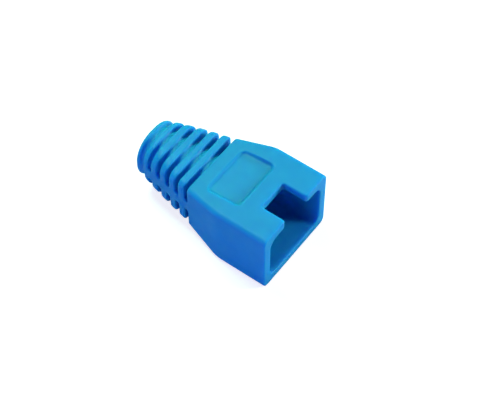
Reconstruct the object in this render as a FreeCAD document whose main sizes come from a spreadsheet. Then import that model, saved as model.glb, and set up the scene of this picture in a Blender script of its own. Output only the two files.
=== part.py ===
"""Slip-on strain relief boot for a modular plug: one moulding in soft PVC.

Frame: +X runs along the boot towards the plug mouth, +Z is the side of the latch notch,
and the origin is under the middle of the boot, at the level of its flat underside.
"""
import FreeCAD, Part
import math
import os
import Sketcher
from FreeCAD import Vector

NODE = "boot"
TOLERANCE = 1e-4
FULL_TURN = 360
FULL_CIRCLE = 2 * math.pi

# Driving dimensions, in millimetres
SIZES = [
    # The hood that swallows the plug
    ("hood_width", 14.0, "across the two side walls at the mouth"),
    ("hood_height", 10.5, "from the flat underside to the top face"),
    ("hood_length", 13.9, "from the mouth to the shoulder"),
    ("closing_length", 6.4, "of the part of the hood whose top and sides close in"),
    ("heel_length", 6.8, "of the part of the hood whose underside rises"),
    ("shoulder_width", 11.2, "across the hood at the shoulder"),
    ("shoulder_drop", 0.9, "how far the top has come down at the shoulder"),
    ("shoulder_rise", 1.45, "how far the underside has come up at the shoulder"),
    ("waist_radius", 6.0, "of the soft bends where the hood starts to close in"),
    ("hood_edge_radius", 0.7, "of the four long edges of the hood"),
    # The plug's room inside the hood
    ("side_wall", 1.35, "of the hood, left and right"),
    ("top_wall", 1.4, "of the hood, above the plug"),
    ("floor_wall", 1.3, "of the hood, below the plug"),
    ("shoulder_wall", 1.5, "between the plug's room and the tail"),
    ("cavity_radius", 1.4, "of the four long edges inside the hood"),
    # The notch that leaves the plug's latch free
    ("notch_width", 4.8, "across the latch notch"),
    ("notch_length", 3.85, "of the latch notch, back from the mouth"),
    ("notch_tab_radius", 0.4, "of the two corners that the notch leaves at the mouth"),
    # The shallow field for a cable marker
    ("field_width", 8.2, "of the marker field"),
    ("field_length", 5.3, "of the marker field"),
    ("field_setback", 6.35, "from the mouth to the marker field"),
    ("field_depth", 0.5, "below the top face at the field's front"),
    ("field_tilt", 4.0, "in degrees, of the field's floor down towards the shoulder"),
    ("field_radius", 0.7, "of the field's corners"),
    # The ribbed tail
    ("tail_length", 10.3, "from the shoulder to the tip"),
    ("tail_step", 0.05, "from the hood's outline in to the tail's, all round"),
    ("root_radius", 0.8, "of the tail's corners at the shoulder"),
    ("middle_radius", 1.8, "of the tail's corners half way along it"),
    ("tip_diameter", 7.9, "of the tail at its tip"),
    ("tip_flat", 0.4, "left straight on each side of the nearly round tip"),
    ("lip_radius", 0.5, "of the rounded end of the tail"),
    ("core_diameter", 7.4, "of the round tube that the ribs stand on"),
    ("bore_diameter", 6.0, "for the cable"),
    ("bore_flare", 0.25, "of the two chamfered ends of the bore"),
    ("slot_width", 0.75, "of each slot between two ribs"),
    ("slot_pitch", 1.8, "from one slot to the next"),
    ("slot_count", 5, "along the tail"),
    ("spine_height", 1.8, "of the spine left standing along each side"),
    ("ring_setback", 1.1, "from the tip to the shallow ring near it"),
    ("ring_radius", 0.5, "of the shallow ring's round section"),
    ("ring_depth", 0.25, "of the shallow ring"),
]

# Places along the boot and up it, worked out from the sizes
MOUTH = "((Sizes.hood_length + Sizes.tail_length) / 2)"
SHOULDER = f"({MOUTH} - Sizes.hood_length)"
WAIST = f"({SHOULDER} + Sizes.closing_length)"
HEEL = f"({SHOULDER} + Sizes.heel_length)"
TIP = f"({SHOULDER} - Sizes.tail_length)"
ROOM_END = f"({SHOULDER} + Sizes.shoulder_wall)"
SHOULDER_TOP = "(Sizes.hood_height - Sizes.shoulder_drop)"
SHOULDER_BOTTOM = "Sizes.shoulder_rise"
TAIL_AXIS = f"(({SHOULDER_TOP} + {SHOULDER_BOTTOM}) / 2)"
# The largest share of a closing edge that its bend may take
BEND_SHARE = 0.9

doc = FreeCAD.newDocument("StrainReliefBoot")
sheet = doc.addObject("Spreadsheet::Sheet", "Sizes")
for row, (alias, size, note) in enumerate(SIZES, start=1):
    sheet.set(f"A{row}", alias)
    sheet.set(f"B{row}", str(size))
    sheet.set(f"C{row}", note)
    sheet.setAlias(f"B{row}", alias)
doc.recompute()

body = doc.addObject("PartDesign::Body", "Boot")
body.Label = NODE


def value(expression):
    """The present value of an expression over the sheet."""
    return float(sheet.evalExpression(expression))


def plane(role):
    """One of the body's own origin planes, by its role."""
    return next(part for part in body.Origin.OriginFeatures if part.Role == role)


def new_sketch(name, role, offset="0", lift="0"):
    """A sketch laid on an origin plane, moved along its normal and up its own y axis."""
    sketch = body.newObject("Sketcher::SketchObject", name)
    sketch.AttachmentSupport = (plane(role), [""])
    sketch.MapMode = "FlatFace"
    sketch.setExpression("AttachmentOffset.Base.z", offset)
    sketch.setExpression("AttachmentOffset.Base.y", lift)
    return sketch


def point(across, up):
    """A sketch point from two expressions."""
    return Vector(value(across), value(up), 0)


def drive(sketch, constraint, expression):
    """Add a dimension and tie it to the sheet."""
    index = sketch.addConstraint(constraint)
    sketch.setExpression(f"Constraints[{index}]", expression)


def place(sketch, edge, end, across, up):
    """Fix one end of an edge at a distance across and up from the sketch's origin."""
    for kind, expression in (("DistanceX", across), ("DistanceY", up)):
        constraint = Sketcher.Constraint(kind, -1, 1, edge, end, value(expression))
        drive(sketch, constraint, expression)


def polygon(sketch, corners):
    """A closed outline of straight edges through corners given as expressions."""
    points = [point(across, up) for across, up in corners]
    first = sketch.GeometryCount
    count = len(corners)
    for begin, end in zip(points, points[1:] + points[:1]):
        sketch.addGeometry(Part.LineSegment(begin, end))
    for number, (across, up) in enumerate(corners):
        edge = first + number
        following = first + (number + 1) % count
        sketch.addConstraint(Sketcher.Constraint("Coincident", edge, 2, following, 1))
        place(sketch, edge, 1, across, up)


def bend_sweep(centre, radius, target, side):
    """The angles, anticlockwise, of a bend from level round to where it aims at `target`."""
    reach = target - centre
    spread = math.acos(radius / reach.Length)
    heading = math.atan2(reach.y, reach.x)
    if side < 0:
        return math.pi / 2, (heading - spread) % FULL_CIRCLE
    return (heading + spread) % FULL_CIRCLE - FULL_CIRCLE, -math.pi / 2


def closing_line(sketch, start, target, side):
    """A bend and a straight edge, tangent throughout, from a level edge's end to the shoulder.

    `side` is -1 where the outline closes downwards and 1 where it closes upwards.
    Returns the level end and the shoulder end, each as an edge number and an end number.
    """
    length = f"({start[0]} - {target[0]})"
    inset = f"abs({start[1]} - {target[1]})"
    widest = f"(pow({length}; 2) + pow({inset}; 2)) / (2 * {inset})"
    bend_radius = f"min(Sizes.waist_radius; {BEND_SHARE} * {widest})"
    begin = point(*start)
    radius = value(bend_radius)
    centre = begin + Vector(0, side * radius, 0)
    sweep = bend_sweep(centre, radius, point(*target), side)
    level_end, slope_end = (1, 2) if side < 0 else (2, 1)
    arc = Part.ArcOfCircle(Part.Circle(centre, Vector(0, 0, 1), radius), *sweep)
    middle = arc.EndPoint if side < 0 else arc.StartPoint
    bend = sketch.addGeometry(arc)
    slope = sketch.addGeometry(Part.LineSegment(middle, point(*target)))
    place(sketch, bend, level_end, *start)
    sketch.addConstraint(Sketcher.Constraint("Vertical", bend, 3, bend, level_end))
    sketch.addConstraint(Sketcher.Constraint("Tangent", bend, slope_end, slope, 1))
    drive(sketch, Sketcher.Constraint("Radius", bend, radius), bend_radius)
    place(sketch, slope, 2, *target)
    return (bend, level_end), (slope, 2)


def open_lines(sketch, corners, start_at, end_at):
    """Straight edges through corners that close an outline from one edge end to another."""
    points = [point(across, up) for across, up in corners]
    edges = []
    for begin, end in zip(points, points[1:]):
        edges.append(sketch.addGeometry(Part.LineSegment(begin, end)))
    for edge, (across, up) in zip(edges[1:], corners[1:-1]):
        place(sketch, edge, 1, across, up)
    for edge, following in zip(edges, edges[1:]):
        sketch.addConstraint(Sketcher.Constraint("Coincident", edge, 2, following, 1))
    sketch.addConstraint(Sketcher.Constraint("Coincident", edges[0], 1, *start_at))
    sketch.addConstraint(Sketcher.Constraint("Coincident", edges[-1], 2, *end_at))


def rounded_rectangle(sketch, width, bottom, top, radius):
    """A rectangle with round corners, centred across the sketch."""
    half = value(width) / 2
    low = value(bottom)
    high = value(top)
    bend = value(radius)
    inner = half - bend
    centres = [(inner, high - bend), (-inner, high - bend), (-inner, low + bend), (inner, low + bend)]
    quarter = math.pi / 2
    arcs = []
    for number, (across, up) in enumerate(centres):
        circle = Part.Circle(Vector(across, up, 0), Vector(0, 0, 1), bend)
        arcs.append(Part.ArcOfCircle(circle, number * quarter, (number + 1) * quarter))
    first = sketch.GeometryCount
    for arc in arcs:
        sketch.addGeometry(arc)
    count = len(arcs)
    for number, arc in enumerate(arcs):
        following = (number + 1) % count
        line = sketch.addGeometry(Part.LineSegment(arc.EndPoint, arcs[following].StartPoint))
        direction = "Horizontal" if number % 2 == 0 else "Vertical"
        sketch.addConstraint(Sketcher.Constraint(direction, line))
        sketch.addConstraint(Sketcher.Constraint("Tangent", first + number, 2, line, 1))
        sketch.addConstraint(Sketcher.Constraint("Tangent", line, 2, first + following, 1))
    for number in range(1, count):
        sketch.addConstraint(Sketcher.Constraint("Equal", first, first + number))
    top_edge, left_edge, bottom_edge, right_edge = range(first + count, first + 2 * count)
    half_width = f"({width}) / 2"
    drive(sketch, Sketcher.Constraint("Radius", first, bend), radius)
    drive(sketch, Sketcher.Constraint("DistanceY", -1, 1, top_edge, 1, high), top)
    drive(sketch, Sketcher.Constraint("DistanceY", -1, 1, bottom_edge, 1, low), bottom)
    drive(sketch, Sketcher.Constraint("DistanceX", -1, 1, right_edge, 1, half), half_width)
    drive(sketch, Sketcher.Constraint("DistanceX", left_edge, 1, -1, 1, half), half_width)


def finish(made):
    """Recompute and stop with the feature's name if it did not build."""
    doc.recompute()
    if "Invalid" in made.State or "Error" in made.State:
        raise RuntimeError(f"{made.Name} did not build: {made.State}")
    if made.Shape.isNull() or not made.Shape.isValid():
        raise RuntimeError(f"{made.Name} has no valid shape")
    print(f"{made.Name}: {made.Shape.Volume:.2f} mm3")
    return made


def feature(kind, name, drives=(), **settings):
    """A feature of the body with its plain settings and the sizes that drive it."""
    made = body.newObject(kind, name)
    for setting, content in settings.items():
        setattr(made, setting, content)
    for setting, expression in drives:
        made.setExpression(setting, expression)
    return finish(made)


def cut(kind, name, drives=(), **settings):
    """A cutting feature, which has to take something away."""
    before = body.Tip.Shape.Volume
    made = feature(kind, name, drives, **settings)
    if made.Shape.Volume > before - TOLERANCE:
        raise RuntimeError(f"{name} cuts nothing")
    return made


def fillet(name, radius, chosen):
    """Round every edge of the body so far for which `chosen` is true."""
    base = body.Tip
    names = [f"Edge{n}" for n, edge in enumerate(base.Shape.Edges, start=1) if chosen(edge)]
    if not names:
        raise RuntimeError(f"{name} finds no edge")
    return feature("PartDesign::Fillet", name, [("Radius", radius)], Base=(base, names))


def spans(edge, axis):
    """How far an edge reaches along one axis."""
    return getattr(edge.BoundBox, f"{axis}Length")


# Hood: its side outline, padded across the width
side = new_sketch("HoodSide", "XZ_Plane")
top_bend, top_end = closing_line(side, (WAIST, "Sizes.hood_height"), (SHOULDER, SHOULDER_TOP), -1)
low_bend, low_end = closing_line(side, (HEEL, "0"), (SHOULDER, SHOULDER_BOTTOM), 1)
open_lines(side, [(SHOULDER, SHOULDER_TOP), (SHOULDER, SHOULDER_BOTTOM)], top_end, low_end)
front = [(WAIST, "Sizes.hood_height"), (MOUTH, "Sizes.hood_height"), (MOUTH, "0"), (HEEL, "0")]
open_lines(side, front, top_bend, low_bend)
feature("PartDesign::Pad", "HoodPad", [("Length", "Sizes.hood_width")], Profile=side, Midplane=True)

# The two sides close in towards the shoulder: one trim, mirrored
SIDE_FACE = "Sizes.hood_width / 2"
CLEAR_OF_SIDE = "Sizes.hood_width"
trim = new_sketch("SideTrim", "XY_Plane")
trim_bend, trim_end = closing_line(trim, (WAIST, SIDE_FACE), (SHOULDER, "Sizes.shoulder_width / 2"), -1)
outside = [
    (SHOULDER, "Sizes.shoulder_width / 2"),
    (SHOULDER, CLEAR_OF_SIDE),
    (WAIST, CLEAR_OF_SIDE),
    (WAIST, SIDE_FACE),
]
open_lines(trim, outside, trim_end, trim_bend)
taper = cut("PartDesign::Pocket", "SideTaper", Profile=trim, Type="ThroughAll", Midplane=True)
mirrored = body.newObject("PartDesign::Mirrored", "BothTapers")
mirrored.Originals = [taper]
mirrored.MirrorPlane = (plane("XZ_Plane"), [""])
body.Tip = mirrored
finish(mirrored)

fillet("HoodEdges", "Sizes.hood_edge_radius", lambda edge: spans(edge, "X") > TOLERANCE)

# Tail: a loft from the shoulder's rounded rectangle to the nearly round tip
ROOT_WIDTH = "(Sizes.shoulder_width - 2 * Sizes.tail_step)"
ROOT_BOTTOM = f"({SHOULDER_BOTTOM} + Sizes.tail_step)"
ROOT_TOP = f"({SHOULDER_TOP} - Sizes.tail_step)"
TIP_WIDTH = "Sizes.tip_diameter"
TIP_BOTTOM = f"({TAIL_AXIS} - Sizes.tip_diameter / 2)"
TIP_TOP = f"({TAIL_AXIS} + Sizes.tip_diameter / 2)"
TIP_RADIUS = "(Sizes.tip_diameter - Sizes.tip_flat) / 2"
tail_stations = [
    ("TailRoot", SHOULDER, ROOT_WIDTH, ROOT_BOTTOM, ROOT_TOP, "Sizes.root_radius"),
    (
        "TailMiddle",
        f"({SHOULDER} + {TIP}) / 2",
        f"({ROOT_WIDTH} + {TIP_WIDTH}) / 2",
        f"({ROOT_BOTTOM} + {TIP_BOTTOM}) / 2",
        f"({ROOT_TOP} + {TIP_TOP}) / 2",
        "Sizes.middle_radius",
    ),
    ("TailTip", TIP, TIP_WIDTH, TIP_BOTTOM, TIP_TOP, TIP_RADIUS),
]
tail_sections = []
for name, station, *outline in tail_stations:
    section = new_sketch(name, "YZ_Plane", offset=station)
    rounded_rectangle(section, *outline)
    tail_sections.append(section)
feature("PartDesign::AdditiveLoft", "TailLoft", Profile=tail_sections[0], Sections=tail_sections[1:])

# The tip's rim is rounded over
tip_place = value(TIP)
fillet("TipLip", "Sizes.lip_radius", lambda edge: edge.BoundBox.XMax < tip_place + TOLERANCE)

# A shallow ring is turned into the tail near its tip
ring = new_sketch("RingSection", "XZ_Plane", lift=TAIL_AXIS)
ring_circle = Part.Circle(Vector(0, 0, 0), Vector(0, 0, 1), value("Sizes.ring_radius"))
ring.addGeometry(ring_circle)
drive(ring, Sketcher.Constraint("Radius", 0, value("Sizes.ring_radius")), "Sizes.ring_radius")
RING_CENTRE = "(Sizes.tip_diameter / 2 + Sizes.ring_radius - Sizes.ring_depth)"
place(ring, 0, 3, f"{TIP} + Sizes.ring_setback", RING_CENTRE)
cut("PartDesign::Groove", "TipRing", Profile=ring, ReferenceAxis=(ring, ["H_Axis"]), Angle=FULL_TURN)

# Slots between the ribs: above and below the spines, down to the round core
AXIS_TO_SPINE = "Sizes.spine_height / 2"
CORE_RADIUS = "Sizes.core_diameter / 2"
CORE_REACH = "sqrt(pow(Sizes.core_diameter / 2; 2) - pow(Sizes.spine_height / 2; 2))"
slot = new_sketch("SlotSection", "YZ_Plane", offset=SHOULDER, lift=TAIL_AXIS)
for up in (1, -1):
    spine_face = f"{up} * {AXIS_TO_SPINE}"
    beyond = f"{up} * Sizes.hood_height"
    spine_angle = math.asin(value(AXIS_TO_SPINE) / value(CORE_RADIUS))
    sweep = (spine_angle, math.pi - spine_angle) if up > 0 else (math.pi + spine_angle, -spine_angle)
    circle = Part.Circle(Vector(0, 0, 0), Vector(0, 0, 1), value(CORE_RADIUS))
    core = slot.addGeometry(Part.ArcOfCircle(circle, *sweep))
    right_end = 1 if up > 0 else 2
    left_end = 2 if up > 0 else 1
    place(slot, core, right_end, CORE_REACH, spine_face)
    place(slot, core, left_end, f"-{CORE_REACH}", spine_face)
    drive(slot, Sketcher.Constraint("Radius", core, value(CORE_RADIUS)), CORE_RADIUS)
    around = [
        (CORE_REACH, spine_face),
        (CLEAR_OF_SIDE, spine_face),
        (CLEAR_OF_SIDE, beyond),
        (f"-{CLEAR_OF_SIDE}", beyond),
        (f"-{CLEAR_OF_SIDE}", spine_face),
        (f"-{CORE_REACH}", spine_face),
    ]
    open_lines(slot, around, (core, right_end), (core, left_end))
first_slot = cut("PartDesign::Pocket", "FirstSlot", [("Length", "Sizes.slot_width")], Profile=slot)
slots = body.newObject("PartDesign::LinearPattern", "Slots")
slots.Originals = [first_slot]
slots.Direction = (plane("YZ_Plane"), [""])
slots.Reversed = True
slots.setExpression("Length", "Sizes.slot_pitch * (Sizes.slot_count - 1)")
slots.setExpression("Occurrences", "Sizes.slot_count")
body.Tip = slots
finish(slots)

# The plug's room: straight behind the mouth, then closing in with the hood
rooms = []
stations = [
    ("RoomMouth", MOUTH, "Sizes.hood_width", "0", "Sizes.hood_height"),
    ("RoomWaist", WAIST, "Sizes.hood_width", "0", "Sizes.hood_height"),
    (
        "RoomEnd",
        ROOM_END,
        "Sizes.shoulder_width",
        SHOULDER_BOTTOM,
        SHOULDER_TOP,
    ),
]
for name, station, width, bottom, top in stations:
    room = new_sketch(name, "YZ_Plane", offset=station)
    inside = f"{width} - 2 * Sizes.side_wall"
    lowest = f"{bottom} + Sizes.floor_wall"
    highest = f"{top} - Sizes.top_wall"
    rounded_rectangle(room, inside, lowest, highest, "Sizes.cavity_radius")
    rooms.append(room)
cut("PartDesign::SubtractiveLoft", "PlugRoom", Profile=rooms[0], Sections=rooms[1:], Ruled=True)

# The cable's bore, turned about the tail's axis, flared at both ends
bore = new_sketch("BoreSection", "XZ_Plane", lift=TAIL_AXIS)
BORE_RADIUS = "Sizes.bore_diameter / 2"
FLARED_RADIUS = f"{BORE_RADIUS} + Sizes.bore_flare"
polygon(bore, [
    (TIP, "0"),
    (TIP, FLARED_RADIUS),
    (f"{TIP} + Sizes.bore_flare", BORE_RADIUS),
    (f"{ROOM_END} - Sizes.bore_flare", BORE_RADIUS),
    (ROOM_END, FLARED_RADIUS),
    (ROOM_END, "0"),
])
cut("PartDesign::Groove", "CableBore", Profile=bore, ReferenceAxis=(bore, ["H_Axis"]), Angle=FULL_TURN)

# The notch for the plug's latch, through the top wall only
HALF_NOTCH = "Sizes.notch_width / 2"
notch = new_sketch("NotchOutline", "XY_Plane", offset="Sizes.hood_height")
polygon(notch, [
    (f"{MOUTH} - Sizes.notch_length", f"-{HALF_NOTCH}"),
    (f"{MOUTH} + Sizes.notch_length", f"-{HALF_NOTCH}"),
    (f"{MOUTH} + Sizes.notch_length", HALF_NOTCH),
    (f"{MOUTH} - Sizes.notch_length", HALF_NOTCH),
])
NOTCH_CUT = "Sizes.top_wall + Sizes.cavity_radius"
cut("PartDesign::Pocket", "LatchNotch", [("Length", NOTCH_CUT)], Profile=notch)
mouth_place = value(MOUTH)
notch_side = value(HALF_NOTCH)


def is_tab_corner(edge):
    """The two short upright edges where the notch meets the mouth."""
    box = edge.BoundBox
    upright = spans(edge, "X") < TOLERANCE and spans(edge, "Y") < TOLERANCE
    at_mouth = box.XMin > mouth_place - TOLERANCE
    at_notch = abs(abs(box.YMin) - notch_side) < TOLERANCE
    return upright and at_mouth and at_notch


fillet("NotchTabs", "Sizes.notch_tab_radius", is_tab_corner)

# The marker field: a shallow floor let into the top, tilted less than the top around it
FIELD_MIDDLE = f"{MOUTH} - Sizes.field_setback - Sizes.field_length / 2"
TILT = "Sizes.field_tilt * 1 deg"
FIELD_LEVEL = f"Sizes.hood_height - Sizes.field_depth - sin({TILT}) * Sizes.field_length / 2"
field = new_sketch("FieldOutline", "XY_Plane", offset=FIELD_LEVEL)
field.AttachmentOffset = FreeCAD.Placement(Vector(), FreeCAD.Rotation(Vector(0, -1, 0), value(TILT)))
field.setExpression("AttachmentOffset.Rotation.Angle", TILT)
field.setExpression("AttachmentOffset.Base.x", FIELD_MIDDLE)
HALF_FIELD = "Sizes.field_width / 2"
CLEAR_OF_TOP = "2 * Sizes.field_depth"
rounded_rectangle(field, "Sizes.field_length", f"-{HALF_FIELD}", HALF_FIELD, "Sizes.field_radius")
cut("PartDesign::Pocket", "MarkerField", [("Length", CLEAR_OF_TOP)], Profile=field, Reversed=True)

finish(body)
for made in doc.Objects:
    if "Invalid" in made.State or "Error" in made.State:
        raise RuntimeError(f"{made.Name} is {made.State}")
if len(body.Shape.Solids) != 1:
    raise RuntimeError("the boot is not one solid")
boot = body.Shape.Solids[0]
print("box", boot.optimalBoundingBox())
print("volume", round(boot.Volume, 2), "faces", len(boot.Faces), "centre of mass", boot.CenterOfMass)

os.makedirs("parts", exist_ok=True)
boot.exportStep(f"parts/{NODE}.step")
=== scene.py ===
# %% [markdown]
# # A strain relief boot for a modular plug
# This lesson dresses one small moulding in soft blue PVC: a hood with a latch notch, and a ribbed
# tail that bends with the cable. The imported model gives its exact form, so the work here is the
# camera, the light, the finish of the plastic and the softness of its moulded edges.
# We start by loading that model. Its box is kept, and the camera, the lamps and the floor are
# placed from it.

# %% Load the imported model
import math

import bpy
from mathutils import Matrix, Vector


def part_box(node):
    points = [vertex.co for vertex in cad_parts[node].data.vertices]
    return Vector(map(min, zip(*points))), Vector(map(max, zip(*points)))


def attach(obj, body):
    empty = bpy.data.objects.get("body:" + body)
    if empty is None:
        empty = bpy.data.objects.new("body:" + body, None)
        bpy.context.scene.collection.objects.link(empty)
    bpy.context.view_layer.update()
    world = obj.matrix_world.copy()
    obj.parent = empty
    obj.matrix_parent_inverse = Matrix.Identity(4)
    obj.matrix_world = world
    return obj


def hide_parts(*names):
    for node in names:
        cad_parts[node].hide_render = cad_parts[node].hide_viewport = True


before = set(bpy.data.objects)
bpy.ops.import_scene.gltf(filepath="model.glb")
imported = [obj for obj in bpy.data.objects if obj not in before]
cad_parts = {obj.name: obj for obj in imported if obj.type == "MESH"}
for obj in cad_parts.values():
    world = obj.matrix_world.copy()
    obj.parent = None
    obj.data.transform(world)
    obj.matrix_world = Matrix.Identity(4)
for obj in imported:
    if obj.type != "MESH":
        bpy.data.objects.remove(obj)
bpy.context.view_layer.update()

MM = 0.001
boot_low, boot_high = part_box("boot")
print("nodes:", sorted(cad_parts))
print("boot, mm:", [round(side / MM, 2) for side in boot_high - boot_low])

# %% [markdown]
# ## Colour management
# Standard keeps a colour about as it is written, which suits a plain product picture.

# %% Set the view transform
bpy.context.scene.view_settings.view_transform = "Standard"
print("view transform:", bpy.context.scene.view_settings.view_transform)

# %% [markdown]
# ## Camera
# The boot is seen from above its mouth, with the tail running away to the left. A long lens a
# hand's length away keeps the two long edges of the hood nearly parallel, as in a catalogue
# picture. The aim is a little off the boot's middle, which sets where it lies in the frame.

# %% Place the camera
AZIMUTH = math.radians(36.35)
ELEVATION = math.radians(54.07)
DISTANCE = 189.31 * MM
LENS = 100.55
NEAREST_SEEN = 10 * MM
AIM_OFF_CENTRE = Vector((4.1, 0.0, -0.25)) * MM
AIM_RIGHT = 0.38 * MM
AIM_UP = 0.38 * MM

towards_camera = Vector((
    math.sin(AZIMUTH) * math.cos(ELEVATION),
    -math.cos(AZIMUTH) * math.cos(ELEVATION),
    math.sin(ELEVATION),
))
view_turn = towards_camera.to_track_quat("Z", "Y")
middle = (boot_low + boot_high) / 2
aim = middle + AIM_OFF_CENTRE
aim += view_turn @ Vector((AIM_RIGHT, AIM_UP, 0))

bpy.ops.object.camera_add(location=aim + towards_camera * DISTANCE, rotation=view_turn.to_euler())
camera = bpy.context.object
camera.name = "camera"
camera.data.lens = LENS
camera.data.clip_start = NEAREST_SEEN
bpy.context.scene.camera = camera
print("camera at, mm:", [round(part / MM, 1) for part in camera.location])

# %% [markdown]
# ## Lamps
# The key lamp hangs high behind the tail, a little to the far side. It lights the top and leaves
# the near side, the slots and the room inside in shade. A weaker, deep blue lamp fills the near
# side from low down. A third one, low in front on the far side, picks out the rim of the mouth.
# Each is a soft square, because a small moulding is usually lit through a diffuser.

# %% Hang the lamps
LAMPS = [
    # Name, place in mm, side in mm, power in W, colour
    ("key", (-140, 50, 270), 120, 1.10, (0.58, 1.0, 0.63)),
    ("near_fill", (0, -250, 60), 140, 0.42, (0.4, 0.32, 1.0)),
    ("front_fill", (210, 180, 100), 80, 0.85, (0.9, 0.9, 1.0)),
]


def soft_lamp(name, place, size, power, colour):
    """A square area lamp that looks at the middle of the boot."""
    turn = (place - middle).to_track_quat("Z", "Y")
    bpy.ops.object.light_add(type="AREA", location=place, rotation=turn.to_euler())
    lamp = bpy.context.object
    lamp.name = name
    lamp.data.size = size
    lamp.data.energy = power
    lamp.data.color = colour
    print(name, "of", power, "W at, mm:", [round(part / MM) for part in place])


for lamp_name, lamp_place, lamp_size, watts, tint in LAMPS:
    soft_lamp(lamp_name, Vector(lamp_place) * MM, lamp_size * MM, watts, tint)

# %% [markdown]
# ## Room
# A real room sends back a little light from all round, so the shade is never black. Here it is a
# faint blue. The camera alone sees white in its place, which gives a clean backdrop and puts no
# more light on the boot.

# %% Light the room
ROOM_BLUE = (0.1, 0.2, 1.0, 1)
ROOM_STRENGTH = 0.05
WHITE = (1, 1, 1, 1)

world = bpy.data.worlds.new("room")
bpy.context.scene.world = world
world.use_nodes = True
nodes = world.node_tree.nodes
links = world.node_tree.links
room = nodes["Background"]
room.inputs["Color"].default_value = ROOM_BLUE
room.inputs["Strength"].default_value = ROOM_STRENGTH
white = nodes.new("ShaderNodeBackground")
white.inputs["Color"].default_value = WHITE
rays = nodes.new("ShaderNodeLightPath")
choice = nodes.new("ShaderNodeMixShader")
links.new(rays.outputs["Is Camera Ray"], choice.inputs["Fac"])
links.new(room.outputs["Background"], choice.inputs[1])
links.new(white.outputs["Background"], choice.inputs[2])
links.new(choice.outputs["Shader"], nodes["World Output"].inputs["Surface"])
print("room strength:", ROOM_STRENGTH)

# %% [markdown]
# ## Floor
# The boot lies on a plain white sheet. The sheet is matt grey with a glow that only the camera
# sees, so it looks white, lights nothing and still takes the boot's soft shadow.

# %% Lay the floor
FLOOR_SIDE = 2.0

bpy.ops.object.select_all(action="DESELECT")
bpy.ops.mesh.primitive_plane_add(size=FLOOR_SIDE, location=(0, 0, boot_low.z))
floor = bpy.context.object
floor.name = "floor"
bpy.ops.object.transform_apply(location=True, rotation=True, scale=True)
print("floor, m:", [round(side, 2) for side in floor.dimensions])

# %% Make it white paper
PAPER_GREY = (0.5, 0.5, 0.5, 1)
PAPER_GLOW = 0.8
NO_GLOW = 0.0

paper = bpy.data.materials.new("white_paper")
paper.use_nodes = True
nodes = paper.node_tree.nodes
links = paper.node_tree.links
nodes.clear()
out = nodes.new("ShaderNodeOutputMaterial")
matt = nodes.new("ShaderNodeBsdfDiffuse")
matt.inputs["Color"].default_value = PAPER_GREY
glow = nodes.new("ShaderNodeEmission")
glow.inputs["Color"].default_value = WHITE
glow.inputs["Strength"].default_value = PAPER_GLOW
dark = nodes.new("ShaderNodeEmission")
dark.inputs["Strength"].default_value = NO_GLOW
rays = nodes.new("ShaderNodeLightPath")
seen = nodes.new("ShaderNodeMixShader")
total = nodes.new("ShaderNodeAddShader")
links.new(rays.outputs["Is Camera Ray"], seen.inputs["Fac"])
links.new(dark.outputs["Emission"], seen.inputs[1])
links.new(glow.outputs["Emission"], seen.inputs[2])
links.new(matt.outputs["BSDF"], total.inputs[0])
links.new(seen.outputs["Shader"], total.inputs[1])
links.new(total.outputs["Shader"], out.inputs["Surface"])
floor.data.materials.append(paper)
print("paper nodes:", len(nodes))

# %% [markdown]
# ## The moulding, with soft edges
# Soft PVC leaves its mould with no sharp edge. Bevels would have to be set edge by edge round all
# the slots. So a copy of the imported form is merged, rebuilt as a fine even net and smoothed a
# little, which rounds the rims of the ribs, the notch and the mouth alike.

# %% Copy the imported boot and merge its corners
MERGE = 0.001 * MM

packed_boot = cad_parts["boot"]
bpy.ops.object.select_all(action="DESELECT")
packed_boot.select_set(True)
bpy.context.view_layer.objects.active = packed_boot
bpy.ops.object.duplicate()
moulding = bpy.context.object
moulding.name = "boot_moulding"
bpy.ops.object.mode_set(mode="EDIT")
bpy.ops.mesh.select_all(action="SELECT")
bpy.ops.mesh.remove_doubles(threshold=MERGE)
bpy.ops.object.mode_set(mode="OBJECT")
print("corners after the merge:", len(moulding.data.vertices))

# %% Rebuild it as an even net and smooth it
NET = 0.155 * MM
SMOOTHING_PASSES = 6
SMOOTHING_SHARE = 0.5


def apply_modifier(piece, kind, **settings):
    """Adds a modifier with these settings and makes it part of the mesh."""
    bpy.context.view_layer.objects.active = piece
    bpy.ops.object.modifier_add(type=kind)
    modifier = piece.modifiers[-1]
    for name, value in settings.items():
        setattr(modifier, name, value)
    bpy.ops.object.modifier_apply(modifier=modifier.name)


apply_modifier(moulding, "REMESH", mode="VOXEL", voxel_size=NET)
apply_modifier(moulding, "SMOOTH", factor=SMOOTHING_SHARE, iterations=SMOOTHING_PASSES)
bpy.ops.object.shade_smooth()
print("quads:", len(moulding.data.polygons))

# %% [markdown]
# ## Its place in the part
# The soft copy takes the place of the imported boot, which stays behind it for collisions. The
# boot is one piece with no joint, so it rides on the one body there is.

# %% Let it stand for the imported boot
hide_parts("boot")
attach(moulding, "root")
print("moulding, mm:", [round(side / MM, 2) for side in moulding.dimensions])

# %% [markdown]
# ## Soft blue PVC
# The plastic is dyed right through and lets light in: red is soaked up almost at once, and green
# goes about half as far as blue. So the shaded slots and the room inside keep a deeper blue than
# the top. The surface shines only faintly, as soft PVC does.

# %% Mix the plastic
SHINE = 0.15
SCATTER = 0.9
SCATTER_DEPTH = 2.2 * MM
SHARE_OF_DEPTH = (0.1, 0.55, 1.0)

plastic = bpy.data.materials.new("blue_pvc")
plastic.use_nodes = True
shader = plastic.node_tree.nodes["Principled BSDF"]
shader.inputs["Specular IOR Level"].default_value = SHINE
shader.inputs["Subsurface Weight"].default_value = SCATTER
shader.inputs["Subsurface Radius"].default_value = SHARE_OF_DEPTH
shader.inputs["Subsurface Scale"].default_value = SCATTER_DEPTH
moulding.material_slots[0].material = plastic
print("blue goes in, mm:", round(SHARE_OF_DEPTH[2] * SCATTER_DEPTH / MM, 2))

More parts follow.
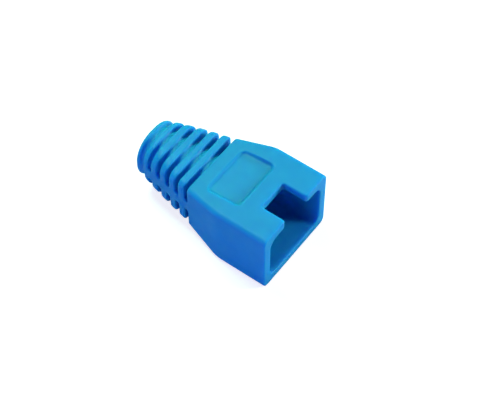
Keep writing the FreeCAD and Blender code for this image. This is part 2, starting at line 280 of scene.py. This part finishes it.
# %% [markdown]
# ## An even colour that isn't quite even
# Up close the dye drifts a little over a few millimetres. A slow noise in the boot's own space,
# between two blues that hardly differ, gives that. The same helper serves the finish after it.

# %% Let the dye drift
DRIFT = 1 / (3.0 * MM)
DRIFT_DETAIL = 3
DYE_LOW = (0.007, 0.265, 0.585, 1)
DYE_HIGH = (0.01, 0.292, 0.615, 1)
ALL_LOW_UNDER = 0.3
ALL_HIGH_OVER = 0.7

nodes = plastic.node_tree.nodes
links = plastic.node_tree.links
own_space = nodes.new("ShaderNodeTexCoord")


def noise(scale, detail):
    """A noise texture in the boot's own space."""
    texture = nodes.new("ShaderNodeTexNoise")
    texture.inputs["Scale"].default_value = scale
    texture.inputs["Detail"].default_value = detail
    links.new(own_space.outputs["Object"], texture.inputs["Vector"])
    return texture.outputs["Fac"]


dye = nodes.new("ShaderNodeValToRGB")
low_stop, high_stop = dye.color_ramp.elements
low_stop.position = ALL_LOW_UNDER
low_stop.color = DYE_LOW
high_stop.position = ALL_HIGH_OVER
high_stop.color = DYE_HIGH
links.new(noise(DRIFT, DRIFT_DETAIL), dye.inputs["Fac"])
links.new(dye.outputs["Color"], shader.inputs["Base Color"])
print("dye drifts over, mm:", round(1 / DRIFT / MM, 2))

# %% [markdown]
# ## Satin patches and grain
# The mould leaves satin and duller patches about a millimetre across, so the roughness wanders
# between two limits. Its sanded steel leaves a grain finer than a fifth of a millimetre, which
# is too small to model, so it is a faint bump.

# %% Add the patches
PATCHES = 1 / (1.2 * MM)
PATCHES_DETAIL = 2
SATIN = 0.42
DULL = 0.56

satin = nodes.new("ShaderNodeMapRange")
satin.inputs["To Min"].default_value = SATIN
satin.inputs["To Max"].default_value = DULL
links.new(noise(PATCHES, PATCHES_DETAIL), satin.inputs["Value"])
links.new(satin.outputs["Result"], shader.inputs["Roughness"])
print("roughness from", SATIN, "to", DULL)

# %% Add the grain
GRAIN = 1 / (0.18 * MM)
GRAIN_DETAIL = 2
GRAIN_STRENGTH = 0.25
GRAIN_HEIGHT = 0.02 * MM

grain = nodes.new("ShaderNodeBump")
grain.inputs["Strength"].default_value = GRAIN_STRENGTH
grain.inputs["Distance"].default_value = GRAIN_HEIGHT
links.new(noise(GRAIN, GRAIN_DETAIL), grain.inputs["Height"])
links.new(grain.outputs["Normal"], shader.inputs["Normal"])
print("material nodes:", len(nodes))
